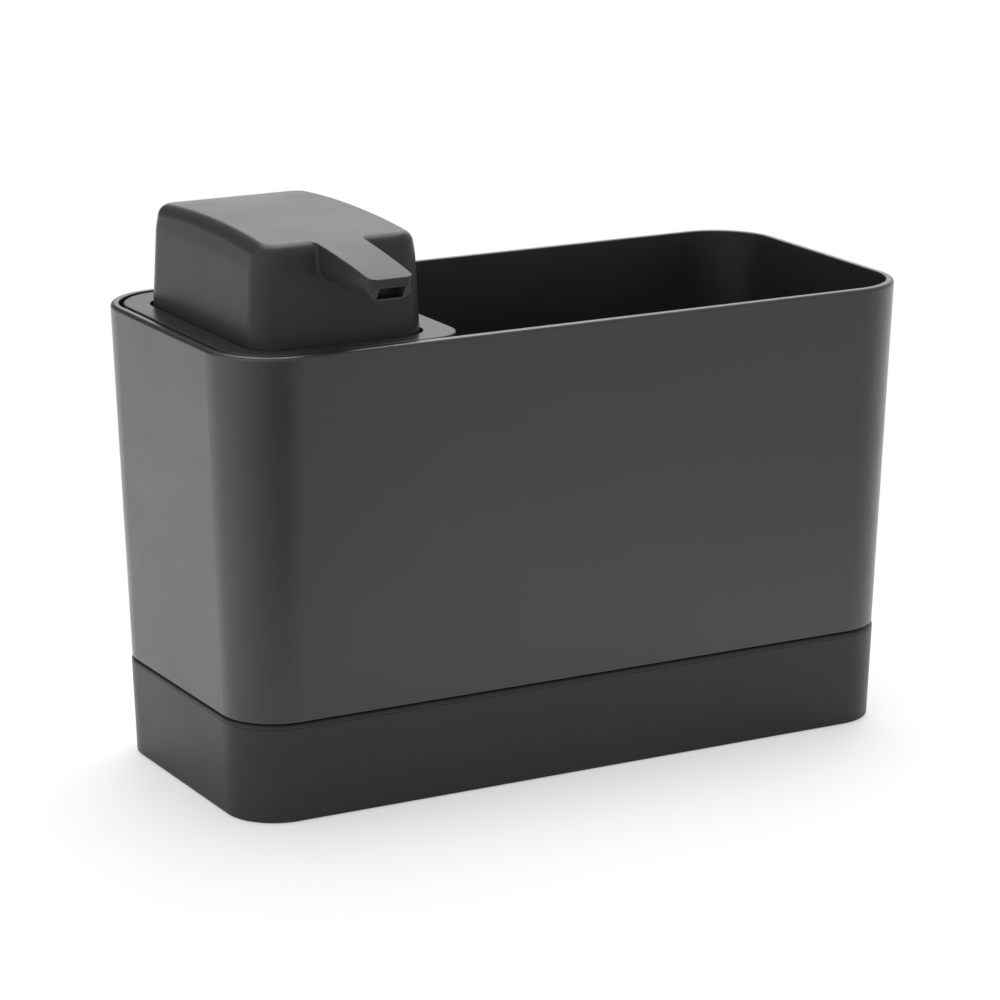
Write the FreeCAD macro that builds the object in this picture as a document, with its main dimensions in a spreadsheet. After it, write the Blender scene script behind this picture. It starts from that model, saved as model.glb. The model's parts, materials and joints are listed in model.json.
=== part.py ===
import FreeCAD, Part
import math
import os
import re

import Sketcher
from FreeCAD import Vector

# A sink-side caddy with a lift-out soap dispenser. Lengths are in millimetres.
# X runs along the caddy, Y from front to back and Z up; the origin is under the middle of the base.

SIZES = {
    # caddy box
    "caddy_length": 235.0,
    "caddy_depth": 106.5,
    "corner_radius": 21.3,
    "rim_height": 143.1,
    "end_lean": 0.0363,
    "face_lean": 0.0421,
    "corner_lean": 0.039,
    "caddy_wall": 2.5,
    "caddy_floor": 2.6,
    "rim_round": 1.15,
    "rim_inner_round": 0.35,
    "seam_height": 31.6,
    "skirt_depth": 8.0,
    "skirt_wall": 1.8,
    "skirt_gap": 0.6,
    # drain slots in the caddy's floor
    "drain_width": 4.0,
    "drain_length": 24.0,
    "drain_round": 1.4,
    "drain_count": 13,
    "drain_row_gap": 12.0,
    "drain_margin": 21.5,
    # drip tray
    "tray_lip": 0.3,
    "tray_wall": 2.6,
    "tray_floor": 2.6,
    "tray_round": 1.7,
    "tray_foot_round": 0.6,
    "pad_margin": 19.5,
    "pad_radius": 10.0,
    "pad_thickness": 1.3,
    "pad_proud": 0.3,
    "pad_gap": 0.1,
    # collar plate with the well for the head
    "deck_drop": 0.2,
    "deck_gap": 1.45,
    "deck_plate": 2.4,
    "deck_margin": 9.6,
    "deck_east_radius": 11.0,
    "deck_round": 0.5,
    "well_clear": 6.4,
    "well_wall": 1.4,
    "well_floor": 2.4,
    "plug_depth": 8.0,
    "plug_wall": 1.6,
    "plug_gap": 0.3,
    "seal_thickness": 1.2,
    "seal_gap": 0.1,
    # soap tank
    "tank_gap": 1.6,
    "tank_wall": 1.4,
    "tank_floor": 2.0,
    "tank_east_inset": 1.0,
    "tank_foot_round": 2.5,
    # press head
    "head_width": 55.6,
    "side_room": 4.2,
    "front_room": 2.65,
    "back_room": 6.85,
    "head_radius": 8.5,
    "head_lean": 0.053,
    "shoulder_drop": 6.0,
    "shoulder_lean": 0.165,
    "shoulder_round": 25.0,
    "head_gap": 1.1,
    "head_sink": 4.6,
    "press_travel": 12.0,
    "head_wall": 2.2,
    "crown_rise": 31.75,
    "crown_y": 1.2,
    "arch_radius": 385.0,
    "head_round": 4.0,
    # spout
    "spout_root_width": 15.8,
    "spout_tip_width": 14.4,
    "spout_reach": 30.6,
    "spout_tip_radius": 3.0,
    "spout_round": 4.4,
    "spout_rise": 1.3,
    "spout_band": 2.4,
    "spout_undercut": 2.7,
    "spout_edge_round": 0.4,
    "junction_round": 1.0,
    "mouth_width": 8.4,
    "mouth_height": 3.5,
    "mouth_lip": 0.7,
    "mouth_roof": 2.64,
    "mouth_overlap": 0.5,
    # duct from the stem to the mouth
    "duct_width": 7.4,
    "duct_wall": 0.8,
    "duct_base": 2.6,
    "duct_setback": 6.0,
    "socket_wall": 2.2,
    "socket_depth": 9.0,
    "socket_roof": 1.5,
    "boss_wall": 1.8,
    # pump barrel
    "barrel_wall": 2.0,
    "flange_width": 6.5,
    "flange_thickness": 2.2,
    "collar_wall": 1.5,
    "collar_height": 5.0,
    "gasket_thickness": 1.0,
    "gasket_inset": 1.0,
    "nut_width": 6.0,
    "nut_height": 7.0,
    "nut_notch": 3.0,
    "nut_notch_count": 12,
    "guide_plug": 14.0,
    "guide_cap": 2.6,
    "guide_wall": 2.0,
    "wiper_width": 2.0,
    "wiper_thickness": 1.4,
    # stem, piston and valves
    "stem_diameter": 8.0,
    "stem_bore": 3.2,
    "stem_drop": 1.7,
    "flange_clear": 0.8,
    "piston_flange_thickness": 1.8,
    "neck_step": 0.6,
    "cup_width": 2.4,
    "piston_waist": 1.1,
    "piston_lip": 1.2,
    "spring_share": 0.5538,
    "spring_clear": 1.7,
    "spring_wire": 1.0,
    "spring_turns": 6,
    "spring_end_pitch": 1.6,
    "cage_thickness": 1.6,
    "cage_hole": 2.0,
    "cage_hole_count": 5,
    "cage_hole_circle": 5.4,
    "ball_diameter": 5.0,
    "ball_lift": 1.5,
    "ball_room": 1.0,
    "inlet_hole": 2.4,
    "inlet_land": 1.5,
    "outlet_room": 0.7,
    "outlet_rim": 1.0,
    "tube_diameter": 6.0,
    "tube_wall": 0.8,
    "tube_socket": 8.0,
    "tube_socket_wall": 2.2,
    "tube_clear": 2.0,
    # fits and loose gaps
    "seat_gap": 0.05,
    "run_gap": 0.06,
    "ball_gap": 0.1,
    # largest share of a wall that an edge round may take
    "round_share": 0.72,
}

# Heights and places worked out from the sizes
PLACES = {
    "tray_bottom": "pad_proud",
    "tray_inside": "tray_bottom + tray_floor",
    "caddy_inside": "seam_height + caddy_floor",
    "tank_inside": "caddy_inside + tank_floor",
    "deck_top": "rim_height - deck_drop",
    "deck_under": "deck_top - deck_plate",
    "tank_top": "deck_under - seal_thickness",
    "head_inset": "caddy_wall + tank_gap + tank_wall + well_wall + head_gap",
    "head_front": "head_inset + front_room - caddy_depth / 2",
    "head_back": "caddy_depth / 2 - head_inset - back_room",
    "head_length": "head_back - head_front",
    "head_x": "head_inset + side_room + head_width / 2 - caddy_length / 2",
    "head_y": "(head_front + head_back) / 2",
    "deck_east": "head_x + head_width / 2 + deck_margin",
    "plug_bottom": "tank_top - plug_depth",
    "tank_east": "deck_east - tank_east_inset",
    "well_depth": "head_sink + press_travel + well_clear",
    "well_inside": "deck_top - well_depth",
    "well_under": "well_inside - well_floor",
    "well_radius": "head_radius + head_gap",
    "head_bottom": "deck_top - head_sink",
    "crown_height": "rim_height + crown_rise",
    "arch_centre": "crown_height - arch_radius",
    "brow_height": "arch_centre + sqrt(arch_radius ^ 2 - (head_front - crown_y) ^ 2)",
    "shoulder_height": "brow_height - shoulder_drop",
    "spout_tip_y": "head_front - spout_reach",
    "tip_top": "arch_centre + sqrt(arch_radius ^ 2 - (spout_tip_y - crown_y) ^ 2)",
    "spout_underside": "tip_top - mouth_roof - mouth_height - mouth_lip",
    "duct_floor": "spout_underside + duct_base",
    "mouth_depth": "duct_setback + mouth_overlap",
    "mouth_floor": "spout_underside + mouth_lip",
    "flange_under": "well_inside + gasket_thickness",
    "flange_top": "flange_under + flange_thickness",
    "barrel_top": "flange_top + collar_height",
    "piston_neck": "stem_diameter + 2 * neck_step",
    "bore_diameter": "piston_neck + 2 * cup_width",
    "barrel_diameter": "bore_diameter + 2 * barrel_wall",
    "collar_diameter": "barrel_diameter + 2 * collar_wall",
    "flange_diameter": "collar_diameter + 2 * flange_width",
    "gasket_diameter": "flange_diameter - 2 * gasket_inset",
    "nut_diameter": "barrel_diameter + 2 * nut_width",
    "wiper_diameter": "stem_diameter + 2 * wiper_width",
    "socket_diameter": "stem_diameter + 2 * socket_wall",
    "piston_flange": "bore_diameter - 2 * flange_clear",
    "piston_height": "4 * piston_lip + piston_waist + 2 * seat_gap",
    "spring_diameter": "bore_diameter - 2 * spring_clear",
    "ball_chamber": "ball_diameter + 2 * ball_room",
    "outlet_chamber": "ball_diameter + 2 * outlet_room",
    "stem_top": "duct_floor - stem_drop",
    "guide_bottom": "barrel_top - guide_plug",
    "guide_top": "barrel_top + guide_cap",
    "piston_top": "guide_bottom - ball_gap",
    "neck_top": "piston_top - piston_flange_thickness",
    "neck_bottom": "neck_top - piston_height",
    "stem_bottom": "neck_bottom - piston_flange_thickness",
    "seat_height": "ball_lift + ball_diameter / 2 + ball_diameter / sqrt(2) + 2 * ball_gap",
    "valve_height": "cage_thickness + seat_height - inlet_hole / 2 + inlet_land + tube_socket",
    "spring_length": "spring_share * (stem_bottom - tank_inside - valve_height)",
    "cage_top": "stem_bottom - spring_length",
    "cage_bottom": "cage_top - cage_thickness",
    "inlet_ball_z": "cage_bottom - ball_gap - ball_lift - ball_diameter / 2",
    "seat_apex": "inlet_ball_z - ball_gap - ball_diameter / sqrt(2)",
    "socket_top": "seat_apex + inlet_hole / 2 - inlet_land",
    "tube_mouth": "socket_top - tube_socket",
    "tube_bottom": "tank_inside + tube_clear",
    "outlet_apex": "stem_top - outlet_mouth / 2",
    "outlet_mouth": "stem_diameter - 2 * outlet_rim",
    "outlet_ball_z": "outlet_apex + ball_diameter / sqrt(2) + ball_gap",
    "chamber_roof": "outlet_ball_z + ball_diameter / 2 + ball_lift + ball_gap",
    "socket_crown": "chamber_roof + socket_roof",
    "socket_bottom": "stem_top - socket_depth",
    "duct_end": "spout_tip_y + duct_setback",
    "drain_pitch": "(caddy_length - 2 * drain_margin) / (drain_count - 1)",
    "pad_length": "caddy_length - 2 * pad_margin",
    "pad_depth": "caddy_depth - 2 * pad_margin",
    "right_through": "2 * caddy_length",
}

doc = FreeCAD.newDocument("soap_pump_caddy")
sheet = doc.addObject("Spreadsheet::Sheet", "Sizes")
for row, (alias, size) in enumerate(SIZES.items(), start=1):
    sheet.set(f"A{row}", alias.replace("_", " "))
    sheet.set(f"B{row}", str(size))
    sheet.setAlias(f"B{row}", alias)
doc.recompute()


def formula(text):
    """Turn a formula written in plain size names into one that reads the sheet."""

    def swap(match):
        word = match.group(0)
        if word in PLACES:
            return "(" + formula(PLACES[word]) + ")"
        if word in SIZES:
            return "Sizes." + word
        return word

    return re.sub(r"[a-z_]+", swap, str(text))


def number(text):
    """The present value of a formula."""
    return float(sheet.evalExpression(formula(text)))


def new_body(name, along="0", across="0"):
    """A piece whose own axis stands at the given place."""
    body = doc.addObject("PartDesign::Body", name)
    body.Label = name
    body.setExpression("Placement.Base.x", formula(along))
    body.setExpression("Placement.Base.y", formula(across))
    return body


def new_sketch(body, name, role, offset="0"):
    """A sketch on one of the body's own planes, moved off it along its normal."""
    sketch = body.newObject("Sketcher::SketchObject", f"{body.Name}_{name}")
    planes = {feature.Role: feature for feature in body.Origin.OriginFeatures}
    sketch.AttachmentSupport = [(planes[role], "")]
    sketch.MapMode = "FlatFace"
    sketch.setExpression("AttachmentOffset.Base.z", formula(offset))
    return sketch


def bind(sketch, kind, target, text):
    """Hold one measure of a sketch to a formula."""
    index = sketch.addConstraint(Sketcher.Constraint(kind, *target, number(text)))
    sketch.setExpression(f"Constraints[{index}]", formula(text))


def polygon(body, name, role, corners, offset="0"):
    """A closed outline of straight lines through corners given as formulas."""
    sketch = new_sketch(body, name, role, offset)
    spots = [Vector(number(across), number(up), 0) for across, up in corners]
    count = len(spots)
    for index in range(count):
        sketch.addGeometry(Part.LineSegment(spots[index], spots[(index + 1) % count]))
    for index in range(count):
        sketch.addConstraint(Sketcher.Constraint("Coincident", index, 2, (index + 1) % count, 1))
    for index, (across, up) in enumerate(corners):
        bind(sketch, "DistanceX", (-1, 1, index, 1), across)
        bind(sketch, "DistanceY", (-1, 1, index, 1), up)
    return sketch


def rounded(body, name, offset, box, west_radius, east_radius=None, role="XY_Plane"):
    """A rectangle (west, east, south, north) with rounded corners."""
    sketch = new_sketch(body, name, role, offset)
    east_radius = east_radius or west_radius
    west, east, south, north = (number(side) for side in box)
    corners = (
        (east, south, number(east_radius), 1, -1, 270),
        (east, north, number(east_radius), 1, 1, 0),
        (west, north, number(west_radius), -1, 1, 90),
        (west, south, number(west_radius), -1, -1, 180),
    )
    arcs = []
    for x, y, radius, side, end, start in corners:
        circle = Part.Circle(Vector(x - side * radius, y - end * radius, 0), Vector(0, 0, 1), radius)
        arcs.append(Part.ArcOfCircle(circle, math.radians(start), math.radians(start + 90)))
    for index in range(4):
        sketch.addGeometry(Part.LineSegment(arcs[index - 1].EndPoint, arcs[index].StartPoint))
        sketch.addGeometry(arcs[index])
    for index in range(8):
        sketch.addConstraint(Sketcher.Constraint("Tangent", index, 2, (index + 1) % 8, 1))
    for index, kind in ((0, "Horizontal"), (2, "Vertical"), (4, "Horizontal"), (6, "Vertical")):
        sketch.addConstraint(Sketcher.Constraint(kind, index))
    for index, radius in ((1, east_radius), (3, east_radius), (5, west_radius), (7, west_radius)):
        bind(sketch, "Radius", (index,), radius)
    for side, index, kind in zip(box, (6, 2, 0, 4), ("DistanceX", "DistanceX", "DistanceY", "DistanceY")):
        bind(sketch, kind, (-1, 1, index, 1), side)
    return sketch


def circles(body, name, height, spots, diameter):
    """Equal level circles round the given centres."""
    sketch = new_sketch(body, name, "XY_Plane", height)
    for index, (across, up) in enumerate(spots):
        centre = Vector(number(across), number(up), 0)
        sketch.addGeometry(Part.Circle(centre, Vector(0, 0, 1), number(diameter) / 2))
        bind(sketch, "Diameter", (index,), diameter)
        bind(sketch, "DistanceX", (-1, 1, index, 3), across)
        bind(sketch, "DistanceY", (-1, 1, index, 3), up)
    return sketch


def extrude(body, kind, sketch, length, reverse=False, both_ways=False):
    """A pad or pocket of a sketch, checked to change the solid."""
    before = body.Shape.Volume if body.Tip else 0
    feature = body.newObject(f"PartDesign::{kind}", f"{sketch.Name}_{kind.lower()}")
    feature.Profile = sketch
    feature.setExpression("Length", formula(length))
    feature.Reversed = reverse
    if both_ways:
        feature.SideType = "Symmetric"
    doc.recompute()
    if math.isclose(body.Shape.Volume, before, rel_tol=1e-9):
        raise RuntimeError(f"{feature.Name} changes nothing")
    return feature


def loft(body, kind, first, *others):
    """A straight-sided body from one outline to the next, added or taken away."""
    feature = body.newObject(f"PartDesign::{kind}Loft", f"{first.Name}_loft")
    feature.Profile = first
    feature.Sections = list(others)
    feature.Ruled = True
    doc.recompute()
    return feature


def turn(body, sketch):
    """A solid turned about the body's own upright axis."""
    feature = body.newObject("PartDesign::Revolution", f"{sketch.Name}_turn")
    feature.Profile = sketch
    feature.ReferenceAxis = (sketch, ["V_Axis"])
    feature.Angle = 360
    doc.recompute()
    return feature


def turned(name, corners):
    """A round piece on the pump's axis, from its half section of (radius, height) corners."""
    body = new_body(name, "head_x", "head_y")
    turn(body, polygon(body, "section", "XZ_Plane", corners))
    return body


def fillet(body, name, radius, wanted):
    """Round the edges of the body's last feature that the test picks."""
    base = body.Tip
    names = [f"Edge{index}" for index, edge in enumerate(base.Shape.Edges, start=1) if wanted(edge)]
    feature = body.newObject("PartDesign::Fillet", f"{body.Name}_{name}")
    feature.Base = (base, names)
    feature.setExpression("Radius", formula(radius))
    doc.recompute()
    return feature


def level_edge(height, inset=None):
    """Test for edges at one height that lie a given distance in from the caddy's outline."""
    level = number(height)
    half_length = number(f"caddy_length / 2 - end_lean * (rim_height - ({height}))")
    half_depth = number(f"caddy_depth / 2 - face_lean * (rim_height - ({height}))")

    def wanted(edge):
        box = edge.BoundBox
        if abs(box.ZMin - level) > 0.01 or abs(box.ZMax - level) > 0.01:
            return False
        if inset is None:
            return True
        along = half_length - max(abs(box.XMin), abs(box.XMax))
        across = half_depth - max(abs(box.YMin), abs(box.YMax))
        return abs(min(along, across) - number(inset)) < 0.05

    return wanted


def outline(height, inset):
    """The caddy's tapered outline at a height, drawn in by an inset: its box and corner radius."""
    half_length = f"caddy_length / 2 - end_lean * (rim_height - ({height})) - ({inset})"
    half_depth = f"caddy_depth / 2 - face_lean * (rim_height - ({height})) - ({inset})"
    radius = f"corner_radius - corner_lean * (rim_height - ({height})) - ({inset})"
    box = (f"-({half_length})", half_length, f"-({half_depth})", half_depth)
    return box, radius


def tapered(body, kind, name, bottom, top, inset, east=None, east_radius=None):
    """A block or hollow that follows the caddy's taper; its east side can be moved in."""
    sketches = []
    for level, height in (("low", bottom), ("high", top)):
        box, radius = outline(height, inset)
        if east:
            box = (box[0], east, box[2], box[3])
        sketches.append(rounded(body, f"{name}_{level}", height, box, radius, east_radius))
    return loft(body, kind, *sketches)


def pattern(body, kind, feature, name, axis, count):
    """Repeat a feature along or about one of the body's own axes."""
    axes = {item.Role: item for item in body.Origin.OriginFeatures}
    repeated = body.newObject(f"PartDesign::{kind}Pattern", f"{body.Name}_{name}")
    repeated.Originals = [feature]
    if kind == "Polar":
        repeated.Axis = (axes[axis], [""])
        repeated.Angle = 360
    else:
        repeated.Direction = (axes[axis], [""])
    repeated.setExpression("Occurrences", formula(count))
    body.Tip = repeated
    return repeated


def arch_outline(body, name, drop, start, end, low=None):
    """An outline bounded by the head's arched top, lowered by a drop, between two Y places.

    With a low height it is what lies under the arch, otherwise what lies over it.
    """
    sketch = new_sketch(body, name, "YZ_Plane")
    rise = f"arch_radius - ({drop})"
    far = low or "crown_height + head_length"
    centre = Vector(number("crown_y"), number("arch_centre"), 0)
    circle = Part.Circle(centre, Vector(0, 0, 1), number(rise))
    angles = [math.acos((number(place) - centre.x) / number(rise)) for place in (end, start)]
    arc = Part.ArcOfCircle(circle, *angles)
    left = Vector(number(start), number(far), 0)
    right = Vector(number(end), number(far), 0)
    sketch.addGeometry(arc)
    sketch.addGeometry(Part.LineSegment(arc.EndPoint, left))
    sketch.addGeometry(Part.LineSegment(left, right))
    sketch.addGeometry(Part.LineSegment(right, arc.StartPoint))
    for index in range(4):
        sketch.addConstraint(Sketcher.Constraint("Coincident", index, 2, (index + 1) % 4, 1))
    for index, kind in ((1, "Vertical"), (2, "Horizontal"), (3, "Vertical")):
        sketch.addConstraint(Sketcher.Constraint(kind, index))
    bind(sketch, "Radius", (0,), rise)
    bind(sketch, "DistanceX", (-1, 1, 0, 3), "crown_y")
    bind(sketch, "DistanceY", (-1, 1, 0, 3), "arch_centre")
    bind(sketch, "DistanceX", (-1, 1, 2, 1), start)
    bind(sketch, "DistanceX", (-1, 1, 2, 2), end)
    bind(sketch, "DistanceY", (-1, 1, 2, 1), far)
    return sketch


def head_block(name, bottom, inset):
    """The head's block under its arched top, leaning in more above its shoulder, drawn in by an inset."""
    body = new_body(name)
    sketches = []
    top = "crown_height + head_wall"
    extra = "(shoulder_lean - head_lean) * (crown_height + head_wall - shoulder_height)"
    levels = (("low", bottom, "0"), ("shoulder", "shoulder_height", "0"), ("high", top, extra))
    for level, height, more in levels:
        shrink = f"({inset}) + head_lean * ({height} - deck_top) + {more}"
        half_width = f"head_width / 2 - ({shrink})"
        half_length = f"head_length / 2 - ({shrink})"
        box = (
            f"head_x - ({half_width})",
            f"head_x + {half_width}",
            f"head_y - ({half_length})",
            f"head_y + {half_length}",
        )
        sketches.append(rounded(body, level, height, box, f"head_radius - ({shrink})"))
    loft(body, "Additive", *sketches)
    over = arch_outline(body, "arch", inset, "head_y - head_length", "head_y + head_length")
    extrude(body, "Pocket", over, "right_through", both_ways=True)
    return body


def combine(kind, name, *shapes):
    """Join, cut or intersect shapes into one object."""
    result = doc.addObject(f"Part::{kind}", name)
    if kind.startswith("Multi"):
        result.Shapes = list(shapes)
    else:
        result.Base, result.Tool = shapes
    result.Label = name
    doc.recompute()
    return result


def block(name, west, east, south, north, low, high):
    """A plain box between six places."""
    box = doc.addObject("Part::Box", name)
    for size, start, end in (("Length", west, east), ("Width", south, north), ("Height", low, high)):
        box.setExpression(size, formula(f"({end}) - ({start})"))
    for axis, start in (("x", west), ("y", south), ("z", low)):
        box.setExpression(f"Placement.Base.{axis}", formula(start))
    return box


def rod(name, diameter, low, high):
    """A plain upright cylinder on the pump's axis."""
    cylinder = doc.addObject("Part::Cylinder", name)
    cylinder.setExpression("Radius", formula(f"({diameter}) / 2"))
    cylinder.setExpression("Height", formula(f"({high}) - ({low})"))
    for axis, place in (("x", "head_x"), ("y", "head_y"), ("z", low)):
        cylinder.setExpression(f"Placement.Base.{axis}", formula(place))
    return cylinder


def make_drip_tray():
    """Basin with a rounded lip and a recess for the pad underneath."""
    body = new_body("drip_tray")
    tapered(body, "Additive", "outside", "tray_bottom", "seam_height", "-tray_lip")
    tapered(body, "Subtractive", "basin", "tray_inside", "seam_height", "tray_wall - tray_lip")
    fillet(body, "lip", "min(tray_round; round_share * tray_wall)", level_edge("seam_height", "-tray_lip"))
    foot_round = "min(tray_foot_round; round_share * tray_floor)"
    fillet(body, "foot", foot_round, level_edge("tray_bottom", "-tray_lip"))
    half_length = "(pad_length / 2 + pad_gap)"
    half_depth = "(pad_depth / 2 + pad_gap)"
    box = (f"-{half_length}", half_length, f"-{half_depth}", half_depth)
    recess = rounded(body, "recess", "tray_bottom", box, "pad_radius + pad_gap")
    extrude(body, "Pocket", recess, "pad_thickness - pad_proud", reverse=True)
    return body


def make_base_pad():
    """Anti-slip pad that the whole thing stands on."""
    body = new_body("base_pad")
    box = ("-pad_length / 2", "pad_length / 2", "-pad_depth / 2", "pad_depth / 2")
    extrude(body, "Pad", rounded(body, "outline", "0", box, "pad_radius"), "pad_thickness")
    return body


def make_caddy_body():
    """Tapered open box with a drained floor and a skirt that drops into the tray."""
    body = new_body("caddy_body")
    skirt = "tray_wall - tray_lip + skirt_gap"
    skirt_bottom = "seam_height - skirt_depth"
    tapered(body, "Additive", "outside", "seam_height", "rim_height", "0")
    tapered(body, "Subtractive", "inside", "caddy_inside", "rim_height", "caddy_wall")
    tapered(body, "Additive", "skirt", skirt_bottom, "seam_height", skirt)
    tapered(body, "Subtractive", "skirt_inside", skirt_bottom, "seam_height", f"{skirt} + skirt_wall")
    inner_round = "min(rim_inner_round; (1 - round_share) * caddy_wall / 2)"
    fillet(body, "rim", "min(rim_round; round_share * caddy_wall)", level_edge("rim_height", "0"))
    fillet(body, "rim_inside", inner_round, level_edge("rim_height", "caddy_wall"))
    first = "-drain_pitch * (drain_count - 1) / 2"
    row = "(drain_length + drain_row_gap) / 2"
    slot = (
        f"{first} - drain_width / 2",
        f"{first} + drain_width / 2",
        f"-{row} - drain_length / 2",
        f"-{row} + drain_length / 2",
    )
    sketch = rounded(body, "drain", "caddy_inside", slot, "min(drain_round; round_share * drain_width / 2)")
    drain = extrude(body, "Pocket", sketch, "2 * caddy_floor")
    slots = pattern(body, "Linear", drain, "drains", "X_Axis", "drain_count")
    slots.setExpression("Length", formula("drain_pitch * (drain_count - 1)"))
    axes = {item.Role: item for item in body.Origin.OriginFeatures}
    slots.Direction2 = (axes["Y_Axis"], [""])
    slots.setExpression("Length2", formula("drain_length + drain_row_gap"))
    slots.Occurrences2 = 2
    doc.recompute()
    return body


def make_soap_tank():
    """Open tank that follows the caddy's left end and stands on its floor."""
    body = new_body("soap_tank")
    inset = "caddy_wall + tank_gap"
    radius = "deck_east_radius - tank_east_inset"
    tapered(body, "Additive", "outside", "caddy_inside", "tank_top", inset, "tank_east", radius)
    tapered(
        body,
        "Subtractive",
        "inside",
        "tank_inside",
        "tank_top",
        f"{inset} + tank_wall",
        "tank_east - tank_wall",
        f"{radius} - tank_wall",
    )
    foot_round = "min(tank_foot_round; tank_floor + round_share * tank_wall)"
    fillet(body, "foot", foot_round, level_edge("caddy_inside"))
    return body


def plug_outline(extra):
    """Inset, east side and east radius of the plug that closes the tank, drawn in further by an extra."""
    grip = f"tank_wall + plug_gap + {extra}"
    return (
        f"caddy_wall + tank_gap + {grip}",
        f"tank_east - ({grip})",
        f"deck_east_radius - tank_east_inset - ({grip})",
    )


def well_box(extra):
    """The well round the head, widened by an extra: its box and corner radius."""
    half_width = f"(head_width / 2 + head_gap + {extra})"
    half_length = f"(head_length / 2 + head_gap + {extra})"
    box = (
        f"head_x - {half_width}",
        f"head_x + {half_width}",
        f"head_y - {half_length}",
        f"head_y + {half_length}",
    )
    return box, f"well_radius + {extra}"


def make_dispenser_deck():
    """Collar plate flush with the rim, with the head's well and the tank's plug under it."""
    body = new_body("dispenser_deck")
    box, radius = outline("deck_top", "caddy_wall + deck_gap")
    box = (box[0], "deck_east", box[2], box[3])
    plate = rounded(body, "plate", "deck_under", box, radius, "deck_east_radius")
    extrude(body, "Pad", plate, "deck_plate")
    fillet(body, "edge", "min(deck_round; round_share * deck_plate / 2)", level_edge("deck_top"))
    tapered(body, "Additive", "plug", "plug_bottom", "deck_under", *plug_outline("0"))
    tapered(body, "Subtractive", "plug_inside", "plug_bottom", "deck_under", *plug_outline("plug_wall"))
    well, well_radius = well_box("well_wall")
    extrude(body, "Pad", rounded(body, "well", "well_under", well, well_radius), "deck_under - well_under")
    hole, hole_radius = well_box("0")
    extrude(body, "Pocket", rounded(body, "hollow", "deck_top", hole, hole_radius), "well_depth")
    centre = [("head_x", "head_y")]
    barrel = circles(body, "barrel", "well_inside", centre, "barrel_diameter + 2 * seat_gap")
    extrude(body, "Pocket", barrel, "2 * well_floor")
    return body


def make_lid_seal():
    """Soft ring on the tank's edge, held round the plug."""
    body = new_body("lid_seal")
    inset, east, radius = plug_outline("-seal_gap")
    outside, outside_radius = outline("tank_top", "caddy_wall + tank_gap")
    outside = (outside[0], "tank_east", outside[2], outside[3])
    inside, inside_radius = outline("deck_under", inset)
    inside = (inside[0], east, inside[2], inside[3])
    ring = rounded(body, "outside", "tank_top", outside, outside_radius, "deck_east_radius - tank_east_inset")
    extrude(body, "Pad", ring, "seal_thickness")
    hollow = rounded(body, "inside", "tank_top", inside, inside_radius, radius)
    extrude(body, "Pocket", hollow, "seal_thickness", reverse=True)
    return body


def ring(name, inner, outer, low, high):
    """A plain ring on the pump's axis between two radii and two heights."""
    return turned(name, [(inner, low), (outer, low), (outer, high), (inner, high)])


def make_pump_cylinder():
    """Barrel with its flange, ball seat and tube socket."""
    tube = "tube_diameter / 2 + seat_gap"
    neck = "tube_diameter / 2 + tube_socket_wall"
    barrel = "barrel_diameter / 2"
    return turned("pump_cylinder", [
        (tube, "tube_mouth"),
        (neck, "tube_mouth"),
        (neck, "seat_apex + inlet_hole / 2"),
        (barrel, "cage_bottom - barrel_wall"),
        (barrel, "flange_under"),
        ("flange_diameter / 2", "flange_under"),
        ("flange_diameter / 2", "flange_top"),
        ("collar_diameter / 2", "flange_top"),
        ("collar_diameter / 2", "barrel_top"),
        ("bore_diameter / 2", "barrel_top"),
        ("bore_diameter / 2", "cage_bottom"),
        ("ball_chamber / 2", "cage_bottom"),
        ("ball_chamber / 2", "seat_apex + ball_chamber / 2"),
        ("inlet_hole / 2", "seat_apex + inlet_hole / 2"),
        ("inlet_hole / 2", "socket_top"),
        (tube, "socket_top"),
    ])


def make_cylinder_gasket():
    """Washer between the barrel's flange and the well's floor."""
    inner = "barrel_diameter / 2 + seat_gap"
    return ring("cylinder_gasket", inner, "gasket_diameter / 2", "well_inside", "flange_under")


def make_retaining_nut():
    """Notched ring that clamps the barrel from below."""
    inner = "barrel_diameter / 2 + seat_gap"
    body = ring("retaining_nut", inner, "nut_diameter / 2", "well_under - nut_height", "well_under")
    spot = [("nut_diameter / 2", "0")]
    notch = extrude(body, "Pocket", circles(body, "notch", "well_under", spot, "nut_notch"), "nut_height")
    pattern(body, "Polar", notch, "notches", "Z_Axis", "nut_notch_count")
    doc.recompute()
    return body


def make_stem_guide():
    """Cap on the barrel that guides the stem and stops the piston."""
    stem = "stem_diameter / 2 + run_gap"
    plug = "bore_diameter / 2 - seat_gap"
    collar = "collar_diameter / 2 + seat_gap"
    cap = "collar_diameter / 2 + guide_wall"
    wiper = "wiper_diameter / 2 + seat_gap"
    wiper_seat = "guide_top - wiper_thickness"
    return turned("stem_guide", [
        (stem, "guide_bottom"),
        (plug, "guide_bottom"),
        (plug, "barrel_top"),
        (collar, "barrel_top"),
        (collar, "flange_top + seat_gap"),
        (cap, "flange_top + seat_gap"),
        (cap, "guide_top"),
        (wiper, "guide_top"),
        (wiper, wiper_seat),
        (stem, wiper_seat),
    ])


def make_stem_wiper():
    """Soft ring in the guide, round the stem."""
    inner = "stem_diameter / 2 + run_gap"
    return ring("stem_wiper", inner, "wiper_diameter / 2", "guide_top - wiper_thickness", "guide_top")


def make_inlet_cage():
    """Perforated disc that holds the lower ball down and carries the spring."""
    outer = "bore_diameter / 2 - seat_gap"
    body = ring("inlet_cage", "0", outer, "cage_bottom", "cage_top")
    spot = [("cage_hole_circle / 2", "0")]
    hole = extrude(body, "Pocket", circles(body, "hole", "cage_top", spot, "cage_hole"), "cage_thickness")
    pattern(body, "Polar", hole, "holes", "Z_Axis", "cage_hole_count")
    doc.recompute()
    return body


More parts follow.
